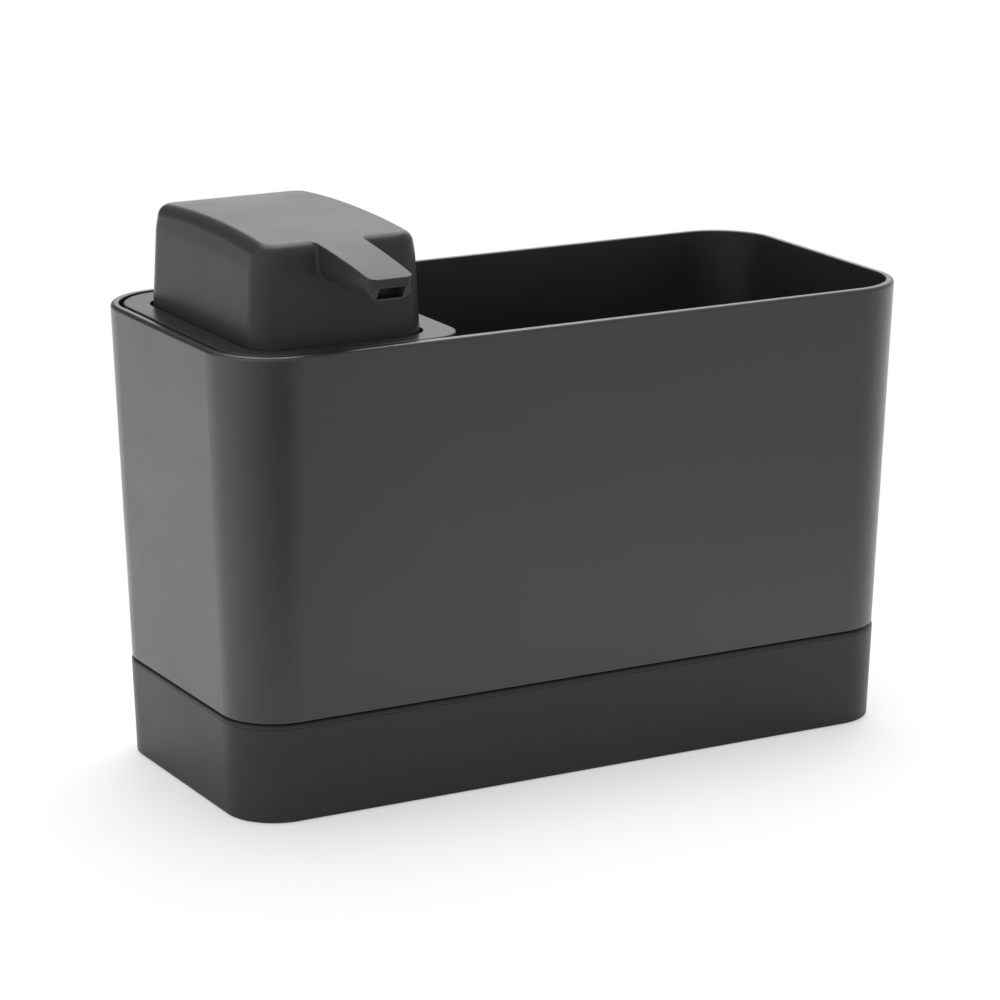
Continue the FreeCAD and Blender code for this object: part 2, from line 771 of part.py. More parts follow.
def make_dip_tube():
    """Suction tube with a bevelled foot."""
    outer = "tube_diameter / 2"
    body = ring("dip_tube", f"{outer} - tube_wall", outer, "tube_bottom", "socket_top - ball_gap")
    corners = [
        (f"-{outer}", "tube_bottom"),
        (outer, "tube_bottom"),
        (outer, "tube_bottom + tube_diameter / 2"),
    ]
    bevel = polygon(body, "bevel", "XZ_Plane", corners)
    extrude(body, "Pocket", bevel, "2 * tube_diameter", both_ways=True)
    return body


def make_pump_stem():
    """Hollow stem with the piston's two flanges and the upper ball's seat."""
    flange = "piston_flange / 2"
    neck = "piston_neck / 2"
    stem = "stem_diameter / 2"
    bore = "stem_bore / 2"
    return turned("pump_stem", [
        (bore, "stem_bottom"),
        (flange, "stem_bottom"),
        (flange, "neck_bottom"),
        (neck, "neck_bottom"),
        (neck, "neck_top"),
        (flange, "neck_top"),
        (flange, "piston_top"),
        (stem, "piston_top"),
        (stem, "stem_top"),
        ("outlet_mouth / 2", "stem_top"),
        (bore, f"outlet_apex + {bore}"),
    ])


def make_piston_seal():
    """Soft cup with a lip at each end that runs in the bore."""
    inner = "piston_neck / 2 + seat_gap"
    lip = "bore_diameter / 2 - run_gap"
    waist = f"{lip} - piston_lip"
    low = "neck_bottom + seat_gap"
    high = "neck_top - seat_gap"
    return turned("piston_seal", [
        (inner, low),
        (lip, low),
        (lip, f"{low} + piston_lip"),
        (waist, f"{low} + 2 * piston_lip"),
        (waist, f"{high} - 2 * piston_lip"),
        (lip, f"{high} - piston_lip"),
        (lip, high),
        (inner, high),
    ])


def make_ball(name, height):
    """Steel check ball on the pump's axis."""
    ball = doc.addObject("Part::Sphere", name)
    ball.Label = name
    ball.setExpression("Radius", formula("ball_diameter / 2"))
    for axis, place in (("x", "head_x"), ("y", "head_y"), ("z", height)):
        ball.setExpression(f"Placement.Base.{axis}", formula(place))
    return ball


def biarc(start, start_way, end, end_way):
    """Two arcs that leave one point and reach another along the given directions."""
    chord = end - start
    both = start_way + end_way
    bend = 2 * (1 - start_way.dot(end_way))
    reach = (-chord.dot(both) + math.sqrt(chord.dot(both) ** 2 + bend * chord.dot(chord))) / bend
    first = start + start_way * reach
    last = end - end_way * reach
    middle = (first + last) * 0.5
    arcs = []
    for one, apex, two in ((start, first, middle), (middle, last, end)):
        foot = (one + two) * 0.5
        half = (two - one).Length / 2
        height = (apex - foot).Length
        sagitta = half * (reach - half) / height
        arcs.append(Part.Arc(one, foot + (apex - foot) * (sagitta / height), two).toShape())
    return arcs


def make_return_spring():
    """Wire coil between the cage and the piston, with closed ends."""
    wire = number("spring_wire")
    radius = (number("spring_diameter") - wire) / 2
    turns = int(number("spring_turns"))
    end_pitch = number("spring_end_pitch")
    room = number("spring_length - 2 * seat_gap") - wire
    pitch = (room - 2 * end_pitch) / (turns - 2)
    quarters = 4 * turns

    def rise(turn):
        """Height of the wire's centre after so many turns."""
        ends = min(turn, 1) + max(turn - (turns - 1), 0)
        return ends * end_pitch + (turn - ends) * pitch

    def spot(turn):
        angle = 2 * math.pi * turn
        return Vector(radius * math.cos(angle), radius * math.sin(angle), rise(turn))

    def way(turn):
        step = 0.01
        before = max(turn - step, 0)
        after = min(turn + step, turns)
        slope = (rise(after) - rise(before)) / (after - before)
        angle = 2 * math.pi * turn
        across = 2 * math.pi * radius
        return Vector(-across * math.sin(angle), across * math.cos(angle), slope).normalize()

    edges = []
    for quarter in range(quarters):
        start, end = quarter / 4, (quarter + 1) / 4
        edges += biarc(spot(start), way(start), spot(end), way(end))
    path = Part.Wire(edges)
    section = Part.Wire(Part.Circle(spot(0), way(0), wire / 2).toShape())
    coil = path.makePipeShell([section], True, False)
    per_turn = 36
    points = [spot(step / per_turn) for step in range(per_turn * turns + 1)]
    half_on = per_turn // 2
    apart = [(one - two).Length for index, one in enumerate(points) for two in points[index + half_on:]]
    print(f"return_spring least gap to itself {min(apart) - wire:.2f} mm")
    spring = doc.addObject("Part::Feature", "return_spring")
    spring.Label = "return_spring"
    spring.Shape = coil
    base = Vector(number("head_x"), number("head_y"), number("cage_top + seat_gap") + wire / 2)
    spring.Placement = FreeCAD.Placement(base, FreeCAD.Rotation())
    return spring


def make_spout_channel():
    """Socket on the stem with the upper ball's chamber and the duct to the mouth."""
    body = new_body("spout_channel", "head_x", "head_y")
    centre = [("0", "0")]
    half = "duct_width / 2"
    reach = "head_y - duct_end"
    low = "duct_floor"
    high = "duct_floor + mouth_height"
    outside = [
        (f"-{half} - duct_wall", f"{low} - duct_wall"),
        (f"{half} + duct_wall", f"{low} - duct_wall"),
        (f"{half} + duct_wall", f"{high} + duct_wall"),
        (f"-{half} - duct_wall", f"{high} + duct_wall"),
    ]
    inside = [(f"-{half}", low), (half, low), (half, high), (f"-{half}", high)]
    socket = circles(body, "socket", "socket_bottom", centre, "socket_diameter")
    extrude(body, "Pad", socket, "socket_crown - socket_bottom")
    extrude(body, "Pad", polygon(body, "duct", "XZ_Plane", outside), reach)
    bore = circles(body, "bore", "socket_bottom", centre, "stem_diameter + 2 * seat_gap")
    extrude(body, "Pocket", bore, "socket_depth + seat_gap", reverse=True)
    chamber = circles(body, "chamber", "stem_top", centre, "outlet_chamber")
    extrude(body, "Pocket", chamber, "chamber_roof - stem_top", reverse=True)
    extrude(body, "Pocket", polygon(body, "passage", "XZ_Plane", inside), reach, reverse=True)
    return body


def make_spout():
    """Outside of the spout: a rounded U section under the head's arch, with an undercut tip."""
    section = new_body("spout_section")
    back = "head_front + head_radius"
    rounds = []
    ends = (("root", back, "spout_root_width", "spout_rise"), ("tip", "spout_tip_y", "spout_tip_width", "0"))
    for level, place, width, rise in ends:
        box = (
            f"head_x - {width} / 2",
            f"head_x + {width} / 2",
            f"spout_underside + {rise}",
            "crown_height + spout_round",
        )
        rounds.append(rounded(section, level, f"-({place})", box, "spout_round", role="XZ_Plane"))
    loft(section, "Additive", *rounds)
    side = new_body("spout_side")
    under = arch_outline(side, "under_arch", "0", "spout_tip_y", back, "spout_underside")
    extrude(side, "Pad", under, "right_through", both_ways=True)
    undercut = polygon(side, "undercut", "YZ_Plane", [
        ("spout_tip_y", "tip_top - spout_band"),
        ("spout_tip_y", "spout_underside"),
        ("spout_tip_y + spout_undercut", "spout_underside"),
    ])
    extrude(side, "Pocket", undercut, "right_through", both_ways=True)
    plan = new_body("spout_plan")
    box = (
        "head_x - spout_tip_width / 2",
        "head_x + spout_tip_width / 2",
        "spout_tip_y",
        "spout_tip_y + spout_tip_width",
    )
    nose = rounded(plan, "nose", "spout_underside", box, "spout_tip_radius")
    extrude(plan, "Pad", nose, "crown_height - spout_underside")
    rear = polygon(plan, "rear", "XY_Plane", [
        ("head_x - spout_root_width", "spout_tip_y + spout_tip_radius"),
        ("head_x + spout_root_width", "spout_tip_y + spout_tip_radius"),
        ("head_x + spout_root_width", back),
        ("head_x - spout_root_width", back),
    ], "spout_underside")
    extrude(plan, "Pad", rear, "crown_height - spout_underside")
    return combine("MultiCommon", "spout", section, side, plan)


def make_pump_head():
    """Hollow press head with an arched top, rounded edges, the spout and a boss for the duct's socket."""
    outside = head_block("head_outside", "head_bottom", "0")
    shoulder = number("shoulder_height")
    arch = number("arch_radius")
    crown = number("crown_y")
    centre = number("arch_centre")

    def at_shoulder(edge):
        return abs(edge.BoundBox.ZMin - shoulder) < 0.01 and abs(edge.BoundBox.ZMax - shoulder) < 0.01

    def in_arch(edge):
        spots = edge.discretize(3)
        return all(abs(math.hypot(spot.y - crown, spot.z - centre) - arch) < 0.01 for spot in spots)

    band = "(shoulder_drop - head_round) * 2 / (shoulder_lean - head_lean)"
    fillet(outside, "shoulder", f"min(shoulder_round; round_share * {band})", at_shoulder)
    fillet(outside, "crown", "min(head_round; round_share * head_radius)", in_arch)
    spout = make_spout()
    form = new_body("head_form")
    form.BaseFeature = combine("Fuse", "head_and_spout", outside, spout)
    doc.recompute()

    def at_junction(edge):
        middle = Part.Vertex(edge.discretize(3)[1])
        meets = all(middle.distToShape(piece.Shape.Shells[0])[0] < 0.001 for piece in (outside, spout))
        return meets and not in_arch(edge)

    def on_spout(edge):
        return in_arch(edge) and edge.BoundBox.YMin < number("head_front")

    fillet(form, "junction", "junction_round", at_junction)
    fillet(form, "spout_edge", "spout_edge_round", on_spout)
    inside = head_block("head_inside", "head_bottom", "head_wall")
    shell = combine("Cut", "head_shell", form, inside)
    hole = "socket_diameter + 2 * seat_gap"
    boss = rod("head_boss", f"{hole} + 2 * boss_wall", "stem_top", "crown_height - head_wall / 2")
    socket = rod("head_socket", hole, "socket_bottom", "socket_crown")
    half_duct = "(duct_width / 2 + duct_wall + seat_gap)"
    passage = block(
        "head_passage",
        f"head_x - {half_duct}",
        f"head_x + {half_duct}",
        "duct_end - seat_gap",
        "head_y",
        "duct_floor - duct_wall - seat_gap",
        "duct_floor + mouth_height + duct_wall + seat_gap",
    )
    mouth = block(
        "head_mouth",
        "head_x - mouth_width / 2",
        "head_x + mouth_width / 2",
        "spout_tip_y - mouth_lip",
        "spout_tip_y + mouth_depth",
        "mouth_floor",
        "mouth_floor + mouth_height",
    )
    cutters = combine("MultiFuse", "head_cutters", socket, passage, mouth)
    return combine("Cut", "pump_head", combine("Fuse", "head_with_boss", shell, boss), cutters)


pieces = [
    make_drip_tray(),
    make_base_pad(),
    make_caddy_body(),
    make_soap_tank(),
    make_dispenser_deck(),
    make_lid_seal(),
    make_pump_cylinder(),
    make_cylinder_gasket(),
    make_retaining_nut(),
    make_stem_guide(),
    make_stem_wiper(),
    make_inlet_cage(),
    make_ball("inlet_ball", "inlet_ball_z"),
    make_return_spring(),
    make_dip_tube(),
    make_pump_stem(),
    make_piston_seal(),
    make_ball("outlet_ball", "outlet_ball_z"),
    make_spout_channel(),
    make_pump_head(),
]
doc.recompute()

for item in doc.Objects:
    if "Invalid" in item.State or "Error" in item.State:
        raise RuntimeError(f"{item.Name} did not build")
for piece in pieces:
    shape = piece.Shape
    if shape.isNull() or not shape.isValid() or len(shape.Solids) != 1:
        raise RuntimeError(f"{piece.Label} is not one sound solid")

os.makedirs("parts", exist_ok=True)
for piece in pieces:
    piece.Shape.exportStep(f"parts/{piece.Label}.step")
    box = piece.Shape.BoundBox
    print(f"{piece.Label}: {piece.Shape.Volume:.0f} mm3, x {box.XMin:.1f} {box.XMax:.1f},"
          f" y {box.YMin:.1f} {box.YMax:.1f}, z {box.ZMin:.1f} {box.ZMax:.1f}")
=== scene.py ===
import json
import math

import bpy
from mathutils import Matrix, Vector


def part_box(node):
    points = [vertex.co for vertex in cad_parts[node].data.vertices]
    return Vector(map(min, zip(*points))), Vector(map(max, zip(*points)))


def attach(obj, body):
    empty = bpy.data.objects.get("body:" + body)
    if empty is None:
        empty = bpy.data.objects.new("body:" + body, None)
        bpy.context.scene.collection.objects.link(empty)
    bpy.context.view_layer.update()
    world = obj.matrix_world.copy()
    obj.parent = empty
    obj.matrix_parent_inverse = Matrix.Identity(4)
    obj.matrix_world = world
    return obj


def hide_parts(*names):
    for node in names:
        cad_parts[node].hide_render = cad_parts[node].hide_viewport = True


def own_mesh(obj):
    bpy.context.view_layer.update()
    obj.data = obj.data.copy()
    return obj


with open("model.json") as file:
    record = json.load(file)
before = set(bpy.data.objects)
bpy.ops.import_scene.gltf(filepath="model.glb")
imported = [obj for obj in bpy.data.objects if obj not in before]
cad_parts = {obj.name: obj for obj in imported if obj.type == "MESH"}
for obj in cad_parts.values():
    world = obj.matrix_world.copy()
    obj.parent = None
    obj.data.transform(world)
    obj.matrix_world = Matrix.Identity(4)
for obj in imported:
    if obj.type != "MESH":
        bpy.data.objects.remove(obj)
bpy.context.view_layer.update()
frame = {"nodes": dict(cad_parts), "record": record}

# Lengths in this script are metres. Sizes written in millimetres carry this factor.
MM = 0.001

# Where the camera stands, what it looks at, and its lens on a sensor of the usual width
CAMERA_PLACE = Vector((-583.38, -1056.75, 399.72)) * MM
CAMERA_TARGET = Vector((-2.66, 0.0, 75.89)) * MM
CAMERA_ROLL = math.radians(0.07)
CAMERA_LENS = 143.63
SENSOR_WIDTH = 36.0
NEAREST_SEEN = 0.05
FARTHEST_SEEN = 50.0

# Linear colours of the finishes
CADDY_GREY = (0.014, 0.014, 0.0143)
DARK_GREY = (0.030, 0.030, 0.0306)
RUBBER_GREY = (0.020, 0.020, 0.021)
FROSTED_GREY = (0.42, 0.44, 0.45)
NATURAL_WHITE = (0.75, 0.75, 0.73)
TUBE_WHITE = (0.70, 0.72, 0.72)
STEEL_GREY = (0.62, 0.62, 0.63)

# The tray's mould line: how far it lies under the top, its height, its half width at top and foot,
# and the tone of its painted shade as a share of the tray's
MOULD_LINE_DROP = 1.9 * MM
MOULD_LINE_RISE = 0.08 * MM
MOULD_LINE_TOP = 0.04 * MM
MOULD_LINE_FOOT = 0.16 * MM
MOULD_LINE_PAINTED_SHADE_TONE = 0.30

# Painted seam shade on the tray under the caddy: how far under the tray's top it starts and is full,
# and its tone as a share
PAINTED_SEAM_SHADE_START_DROP = 1.4 * MM
PAINTED_SEAM_SHADE_FULL_DROP = 0.55 * MM
PAINTED_SEAM_SHADE_TONE = 0.15

# The floor: half its side, its colour, and how much of it glows for the camera, from beside the tray
# to the distance where all of it does
FLOOR_HALF = 6.0
FLOOR_PALE = (0.93, 0.93, 0.93, 1.0)
WHITE = (1.0, 1.0, 1.0, 1.0)
GLOW_BESIDE_TRAY = 0.44
GLOW_FULL_DISTANCE = 0.14

# The distances from the middle between which the floor turns from lit to glowing in gloss
GLOSS_GLOW = (0.4, 1.4)

# A painted dark reflection the floor shows in gloss only: the angles round the object, in radians
# from +X, where it rises, falls to a smaller share and closes, and the distances where it begins
DARK_REFLECTION_RISE = (-3.14, -2.0)
DARK_REFLECTION_FALL = (-1.8, -1.35)
DARK_REFLECTION_FALLEN = 0.42
DARK_REFLECTION_CLOSE = (-0.6, 0.0)
DARK_REFLECTION_DISTANCE = (0.12, 0.34)
DARK_REFLECTION_GLOW = 0.2

# The world's soft light: the ways where it is stronger and where a dark flag hangs in it, and for each
# its factor off that way and on it, with the cosines of the angles between which it changes
BEHIND = Vector((0.25, 0.97, 0.0)).normalized()
BEHIND_LIGHT = {"low": 0.66, "high": 1.15, "start": 0.0, "end": 1.0}
LEFT_END = Vector((-0.97, -0.20, 0.15)).normalized()
LEFT_LIGHT = {"low": 1.0, "high": 2.0, "start": 0.3, "end": 1.0}
FLAG = Vector((-0.25, 0.85, 0.46)).normalized()
FLAG_SHADE = {"low": 1.0, "high": 0.15, "start": 0.76, "end": 0.92}

# Lamps: where each stands, the point it lights, the side of its square and its power in watts
LAMPS = {
    "top_lamp": {"place": (0.2, 0.45, 1.6), "target": (0.0, 0.0, 0.1), "side": 1.2, "power": 19.0},
    "back_lamp": {"place": (0.85, 1.25, 1.2), "target": (0.0, 0.0, 0.15), "side": 1.1, "power": 6.0},
}


def fill(tree, socket, value):
    """Set an input to a value, or link it where the value is another node's socket."""
    if isinstance(value, bpy.types.NodeSocket):
        tree.links.new(value, socket)
    else:
        socket.default_value = value


def add(tree, kind, inputs=None, **settings):
    """A node with its settings, and with its inputs filled by name or number."""
    node = tree.nodes.new(kind)
    for name, value in settings.items():
        setattr(node, name, value)
    for name, value in (inputs or {}).items():
        fill(tree, node.inputs[name], value)
    return node


def blank_tree(owner):
    """The emptied node tree of a material or a world."""
    owner.use_nodes = True
    owner.node_tree.nodes.clear()
    return owner.node_tree


def new_material(name):
    """An empty node material with one principled shader."""
    material = bpy.data.materials.new(name)
    tree = blank_tree(material)
    shader = add(tree, "ShaderNodeBsdfPrincipled")
    add(tree, "ShaderNodeOutputMaterial", {"Surface": shader.outputs["BSDF"]})
    return material, tree, shader


def noise(tree, place, size, detail):
    """Soft random values from 0 to 1 whose features are about the given size."""
    inputs = {"Vector": place, "Scale": 1 / size, "Detail": detail}
    return add(tree, "ShaderNodeTexNoise", inputs).outputs["Fac"]


def spread(tree, value, low, high, start=0.3, end=0.7):
    """A value stretched from a range, by default the usual one of a noise, to another one."""
    inputs = {"Value": value, "From Min": start, "From Max": end, "To Min": low, "To Max": high}
    return add(tree, "ShaderNodeMapRange", inputs).outputs["Result"]


def combined(tree, operation, first, second):
    """The result of one operation on two values."""
    return add(tree, "ShaderNodeMath", {0: first, 1: second}, operation=operation).outputs["Value"]


def product(tree, first, *others):
    """Values multiplied with each other."""
    for other in others:
        first = combined(tree, "MULTIPLY", first, other)
    return first


def vector_math(tree, operation, first, second=(0.0, 0.0, 0.0)):
    """The outputs of one operation on a vector, with a second one where it takes two."""
    return add(tree, "ShaderNodeVectorMath", {0: first, 1: second}, operation=operation).outputs


def aligned(tree, first, second):
    """How far two directions point the same way, from -1 to 1."""
    return vector_math(tree, "DOT_PRODUCT", first, second)["Value"]


def mixed(tree, factor, first, second):
    """A colour between two colours. The mix node's sockets for colours go by their numbers."""
    return add(tree, "ShaderNodeMix", {0: factor, 6: first, 7: second}, data_type="RGBA").outputs[2]


def shade(colour, factor):
    """A colour made lighter or darker, with its alpha."""
    return (*(min(channel * factor, 1.0) for channel in colour), 1.0)


def edge_mask(tree, radius):
    """How near a point is to a sharp edge, from 0 to about 1."""
    soft = add(tree, "ShaderNodeBevel", {"Radius": radius}, samples=4).outputs["Normal"]
    hard = add(tree, "ShaderNodeNewGeometry").outputs["Normal"]
    return spread(tree, aligned(tree, soft, hard), 1.0, 0.0, start=0.72, end=1.0)


def finish_surface(tree, shader, roughness, roughness_spread, grain, grain_depth, smear):
    """Roughness that changes gently over the piece, and a fine grain."""
    place = add(tree, "ShaderNodeTexCoord").outputs["Object"]
    patches = noise(tree, place, smear, detail=3.0)
    rough = spread(tree, patches, roughness - roughness_spread, roughness + roughness_spread)
    fill(tree, shader.inputs["Roughness"], rough)
    pits = noise(tree, place, grain, detail=1.0)
    bump = add(tree, "ShaderNodeBump", {"Strength": 1.0, "Distance": grain_depth, "Height": pits})
    fill(tree, shader.inputs["Normal"], bump.outputs["Normal"])
    return place


def mould_line_and_seam_shade(tree, shader, place, top, base, colour):
    """The base colour with a raised mould line in painted shade under a top edge, and painted seam
    shade above it.
    """
    level = add(tree, "ShaderNodeSeparateXYZ", {0: place}).outputs["Z"]
    above = combined(tree, "SUBTRACT", level, top - MOULD_LINE_DROP)
    away = add(tree, "ShaderNodeMath", {0: above}, operation="ABSOLUTE").outputs["Value"]
    line = spread(tree, away, 1.0, 0.0, MOULD_LINE_TOP, MOULD_LINE_FOOT)
    grain = shader.inputs["Normal"].links[0].from_socket
    ridge = {"Strength": 1.0, "Distance": MOULD_LINE_RISE, "Height": line, "Normal": grain}
    fill(tree, shader.inputs["Normal"], add(tree, "ShaderNodeBump", ridge).outputs["Normal"])
    # The raised ridge is real; its darker colour is painted shade.
    with_line_shade = mixed(tree, line, base, shade(colour, MOULD_LINE_PAINTED_SHADE_TONE))
    # Painted shade: the tray's top darkens towards the seam under the caddy.
    seam_shade = spread(tree, level, 0.0, 1.0, top - PAINTED_SEAM_SHADE_START_DROP, top - PAINTED_SEAM_SHADE_FULL_DROP)
    return mixed(tree, seam_shade, with_line_shade, shade(colour, PAINTED_SEAM_SHADE_TONE))


def moulded_plastic(name, colour, roughness, specular, wear, line_and_shade_top=None):
    """Satin moulded plastic: cloudy tone, fine mould grain, and edges rubbed a little lighter.

    Given the height of its top edge, a piece also gets the mould line, darkened as painted shade, and
    the painted seam shade there.
    """
    material, tree, shader = new_material(name)
    place = finish_surface(
        tree, shader, roughness,
        roughness_spread=0.03, grain=0.45 * MM, grain_depth=0.004 * MM, smear=22 * MM,
    )
    cloud = spread(tree, noise(tree, place, 70 * MM, detail=3.0), 0.0, 1.0)
    base = mixed(tree, cloud, shade(colour, 0.95), shade(colour, 1.05))
    fleck = spread(tree, noise(tree, place, 0.9 * MM, detail=1.0), 0.0, 0.35, start=0.55, end=0.8)
    flecked = mixed(tree, fleck, base, shade(colour, 1.25))
    broken = spread(tree, noise(tree, place, 5 * MM, detail=4.0), 0.2, 1.0)
    rubbed = product(tree, edge_mask(tree, radius=0.5 * MM), broken)
    surface = mixed(tree, rubbed, flecked, shade(colour, wear))
    if line_and_shade_top is not None:
        surface = mould_line_and_seam_shade(tree, shader, place, line_and_shade_top, surface, colour)
    fill(tree, shader.inputs["Base Color"], surface)
    shader.inputs["Specular IOR Level"].default_value = specular
    return material


def rubber(name, colour):
    """Matt silicone with a faint bloom on it."""
    material, tree, shader = new_material(name)
    place = finish_surface(
        tree, shader, roughness=0.62,
        roughness_spread=0.05, grain=0.35 * MM, grain_depth=0.008 * MM, smear=9 * MM,
    )
    bloom = spread(tree, noise(tree, place, 6 * MM, detail=4.0), 0.0, 1.0)
    surface = mixed(tree, bloom, shade(colour, 0.85), shade(colour, 1.4))
    fill(tree, shader.inputs["Base Color"], surface)
    shader.inputs["Specular IOR Level"].default_value = 0.35
    return material


def milky_plastic(name, colour, roughness, clarity, depth):
    """Unpigmented polymer: clarity is how much light passes, depth how far the rest goes in."""
    material, tree, shader = new_material(name)
    place = finish_surface(
        tree, shader, roughness,
        roughness_spread=0.05, grain=0.8 * MM, grain_depth=0.004 * MM, smear=14 * MM,
    )
    flow = spread(tree, noise(tree, place, 18 * MM, detail=3.0), 0.0, 1.0)
    surface = mixed(tree, flow, shade(colour, 0.93), shade(colour, 1.04))
    fill(tree, shader.inputs["Base Color"], surface)
    shader.inputs["Transmission Weight"].default_value = clarity
    shader.inputs["Subsurface Weight"].default_value = 0.2
    shader.inputs["Subsurface Radius"].default_value = (depth, depth, depth)
    return material


def bright_steel(name, colour):
    """Drawn and polished steel with a faint cloudy tarnish."""
    material, tree, shader = new_material(name)
    place = finish_surface(
        tree, shader, roughness=0.24,
        roughness_spread=0.06, grain=0.12 * MM, grain_depth=0.002 * MM, smear=3 * MM,
    )
    tarnish = spread(tree, noise(tree, place, 2.5 * MM, detail=3.0), 0.0, 1.0)
    surface = mixed(tree, tarnish, shade(colour, 0.86), shade(colour, 1.06))
    fill(tree, shader.inputs["Base Color"], surface)
    shader.inputs["Metallic"].default_value = 1.0
    return material


def dress_nodes():
    """Give every piece the finish of its slot."""
    tray_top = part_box("drip_tray")[1].z
    finishes = {
        "caddy_plastic": moulded_plastic(
            "caddy_plastic", CADDY_GREY, roughness=0.32, specular=0.72, wear=1.35
        ),
        "tray_plastic": moulded_plastic(
            "tray_plastic", DARK_GREY, roughness=0.38, specular=0.20, wear=1.5, line_and_shade_top=tray_top
        ),
        "head_plastic": moulded_plastic(
            "head_plastic", DARK_GREY, roughness=0.30, specular=0.15, wear=1.5
        ),
        "silicone": rubber("silicone", RUBBER_GREY),
        "tank_plastic": milky_plastic(
            "tank_plastic", FROSTED_GREY, roughness=0.42, clarity=0.25, depth=1.5 * MM
        ),
        "pump_plastic": milky_plastic(
            "pump_plastic", NATURAL_WHITE, roughness=0.36, clarity=0.05, depth=1.2 * MM
        ),
        "tube_plastic": milky_plastic(
            "tube_plastic", TUBE_WHITE, roughness=0.22, clarity=0.45, depth=0.8 * MM
        ),
        "steel": bright_steel("steel", STEEL_GREY),
    }
    slot_of = {row["node"]: row["material_slot"] for row in frame["record"]["subparts"]}
    for name, node in frame["nodes"].items():
        node.data.materials.clear()
        node.data.materials.append(finishes[slot_of[name]])
    return finishes


def place_object(name, data):
    """A new object of the scene that shows a mesh, curve, lamp or camera."""
    holder = bpy.data.objects.new(name, data)
    bpy.context.scene.collection.objects.link(holder)
    return holder


def make_spring(finish):
    """The return spring as a drawn wire, closed at both ends."""
    low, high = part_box("return_spring")
    cage_low, cage_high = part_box("inlet_cage")
    wire = 1.0 * MM
    cage_margin = 1.65 * MM
    end_pitch = 1.6 * MM
    turns = 6
    steps_per_turn = 48
    centre = (low + high) / 2
    length = high.z - low.z
    radius = (cage_high.x - cage_low.x) / 2 - cage_margin - wire / 2
    pitch = (length - wire - 2 * end_pitch) / (turns - 2)
    curve = bpy.data.curves.new("return_spring_wire", "CURVE")
    curve.dimensions = "3D"
    curve.bevel_depth = wire / 2
    curve.bevel_resolution = 4
    curve.use_fill_caps = True
    line = curve.splines.new("POLY")
    line.points.add(turns * steps_per_turn)
    for step, point in enumerate(line.points):
        turn = step / steps_per_turn
        ends = min(turn, 1) + max(turn - (turns - 1), 0)
        height = low.z + wire / 2 + ends * end_pitch + (turn - ends) * pitch
        angle = 2 * math.pi * turn
        across = radius * math.cos(angle)
        along = radius * math.sin(angle)
        point.co = (centre.x + across, centre.y + along, height, 1)
    drawing = place_object("spring_line", curve)
    bpy.context.view_layer.update()
    drawn = drawing.evaluated_get(bpy.context.evaluated_depsgraph_get())
    mesh = bpy.data.meshes.new_from_object(drawn)
    bpy.data.objects.remove(drawing)
    coil = place_object("return_spring_coil", mesh)
    mesh.materials.clear()
    mesh.materials.append(finish)
    mesh.shade_smooth()
    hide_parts("return_spring")
    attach(coil, "lid")
    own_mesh(coil)


def seen_directly(tree, path):
    """Whether a ray comes from the camera, straight or through clear plastic."""
    return combined(tree, "MAXIMUM", path["Is Camera Ray"], path["Is Transmission Ray"])


def tray_clearance(tree, place):
    """How far a point of the floor lies outside the tray's footprint."""
    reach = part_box("drip_tray")[1] * Vector((1.0, 1.0, 0.0))
    past = vector_math(tree, "SUBTRACT", vector_math(tree, "ABSOLUTE", place)["Vector"], reach)
    outside = vector_math(tree, "MAXIMUM", past["Vector"])
    return vector_math(tree, "LENGTH", outside["Vector"])["Value"]


def painted_dark_reflection(tree, place, far):
    """How much a point of the floor shows the painted dark reflection, from 0 to 1."""
    sides = add(tree, "ShaderNodeSeparateXYZ", {0: place}).outputs
    angle = combined(tree, "ARCTAN2", sides["Y"], sides["X"])
    rise = spread(tree, angle, 0.0, 1.0, *DARK_REFLECTION_RISE)
    fall = spread(tree, angle, 1.0, DARK_REFLECTION_FALLEN, *DARK_REFLECTION_FALL)
    close = spread(tree, angle, 1.0, 0.0, *DARK_REFLECTION_CLOSE)
    beyond = spread(tree, far, 0.0, 1.0, *DARK_REFLECTION_DISTANCE)
    return product(tree, rise, fall, close, beyond)


def floor_white():
    """Pale floor that keeps the shadow, shows white to the camera, and in gloss shows a painted dark
    reflection.
    """
    material = bpy.data.materials.new("floor_white")
    tree = blank_tree(material)
    place = add(tree, "ShaderNodeTexCoord").outputs["Object"]
    path = add(tree, "ShaderNodeLightPath").outputs
    matt = add(tree, "ShaderNodeBsdfDiffuse", {"Color": FLOOR_PALE}).outputs[0]
    glow = add(tree, "ShaderNodeEmission", {"Color": WHITE, "Strength": 1.0}).outputs[0]
    dim_reflection = add(tree, "ShaderNodeEmission", {"Color": WHITE, "Strength": DARK_REFLECTION_GLOW}).outputs[0]
    far = vector_math(tree, "LENGTH", place)["Value"]
    gloss = path["Is Glossy Ray"]
    fade = spread(tree, tray_clearance(tree, place), GLOW_BESIDE_TRAY, 1.0, 0.0, GLOW_FULL_DISTANCE)
    plain = product(tree, seen_directly(tree, path), fade)
    mirrored = product(tree, gloss, spread(tree, far, 0.0, 1.0, *GLOSS_GLOW))
    share = combined(tree, "MAXIMUM", plain, mirrored)
    # Painted reflection: glossy rays see a dimmer glow over part of the floor.
    dark_reflection = product(tree, gloss, painted_dark_reflection(tree, place, far))
    blend = add(tree, "ShaderNodeMixShader", {0: share, 1: matt, 2: glow}).outputs[0]
    ended = add(tree, "ShaderNodeMixShader", {0: dark_reflection, 1: blend, 2: dim_reflection}).outputs[0]
    add(tree, "ShaderNodeOutputMaterial", {"Surface": ended})
    return material


def make_floor():
    """One square that the object stands on."""
    corners = [(-1, -1), (1, -1), (1, 1), (-1, 1)]
    mesh = bpy.data.meshes.new("floor")
    mesh.from_pydata([(x * FLOOR_HALF, y * FLOOR_HALF, 0) for x, y in corners], [], [(0, 1, 2, 3)])
    mesh.materials.append(floor_white())
    floor = place_object("floor", mesh)


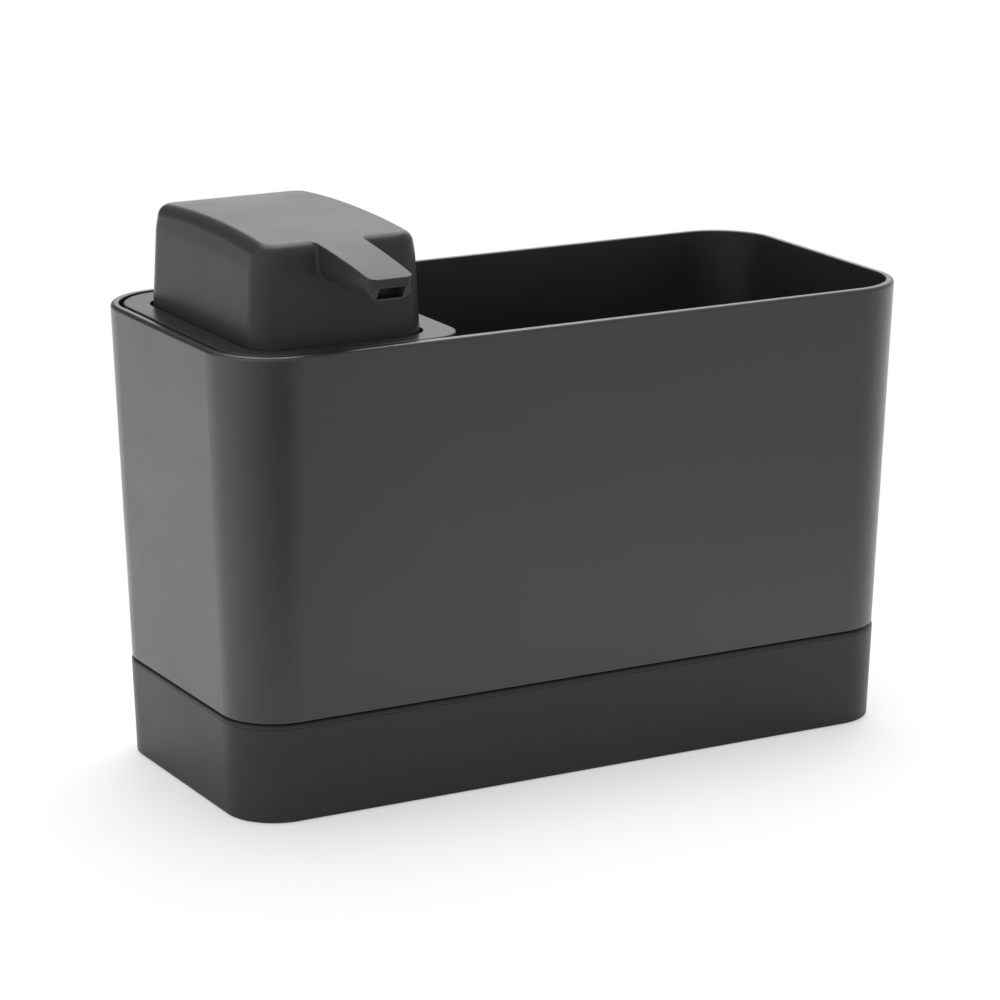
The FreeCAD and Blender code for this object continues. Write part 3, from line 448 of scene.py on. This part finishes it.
def make_world():
    """Soft light from all round, stronger from behind and from the left, with a flag high behind."""
    world = bpy.data.worlds.new("studio")
    bpy.context.scene.world = world
    tree = blank_tree(world)
    way = add(tree, "ShaderNodeTexCoord").outputs["Generated"]
    path = add(tree, "ShaderNodeLightPath").outputs
    behind = spread(tree, aligned(tree, way, BEHIND), **BEHIND_LIGHT)
    left = spread(tree, aligned(tree, way, LEFT_END), **LEFT_LIGHT)
    flag = spread(tree, aligned(tree, way, FLAG), **FLAG_SHADE)
    light = product(tree, behind, flag, left)
    # The mix node's sockets for plain values go by their numbers.
    levels = {0: seen_directly(tree, path), 2: light, 3: 1.0}
    strength = add(tree, "ShaderNodeMix", levels, data_type="FLOAT").outputs[0]
    back = add(tree, "ShaderNodeBackground", {"Color": WHITE, "Strength": strength})
    add(tree, "ShaderNodeOutputWorld", {"Surface": back.outputs[0]})


def make_lamp(name, place, target, side, power):
    """A soft square lamp aimed at a point."""
    lamp = bpy.data.lights.new(name, "AREA")
    lamp.shape = "RECTANGLE"
    lamp.size = side
    lamp.size_y = side
    lamp.energy = power
    holder = place_object(name, lamp)
    holder.location = place
    holder.rotation_mode = "QUATERNION"
    holder.rotation_quaternion = (Vector(target) - Vector(place)).to_track_quat("-Z", "Y")
    holder.visible_camera = False


def make_camera():
    """The camera at the photograph's viewing angle."""
    camera = bpy.data.cameras.new("camera")
    camera.sensor_width = SENSOR_WIDTH
    camera.lens = CAMERA_LENS
    camera.clip_start = NEAREST_SEEN
    camera.clip_end = FARTHEST_SEEN
    aim = (CAMERA_TARGET - CAMERA_PLACE).to_track_quat("-Z", "Y").to_matrix().to_4x4()
    roll = Matrix.Rotation(CAMERA_ROLL, 4, "Z")
    holder = place_object("camera", camera)
    holder.matrix_world = Matrix.Translation(CAMERA_PLACE) @ aim @ roll
    bpy.context.scene.camera = holder


finishes = dress_nodes()
make_spring(finishes["steel"])
make_floor()
make_world()
for lamp_name, lamp_settings in LAMPS.items():
    make_lamp(lamp_name, **lamp_settings)
make_camera()
bpy.context.scene.view_settings.view_transform = "Standard"
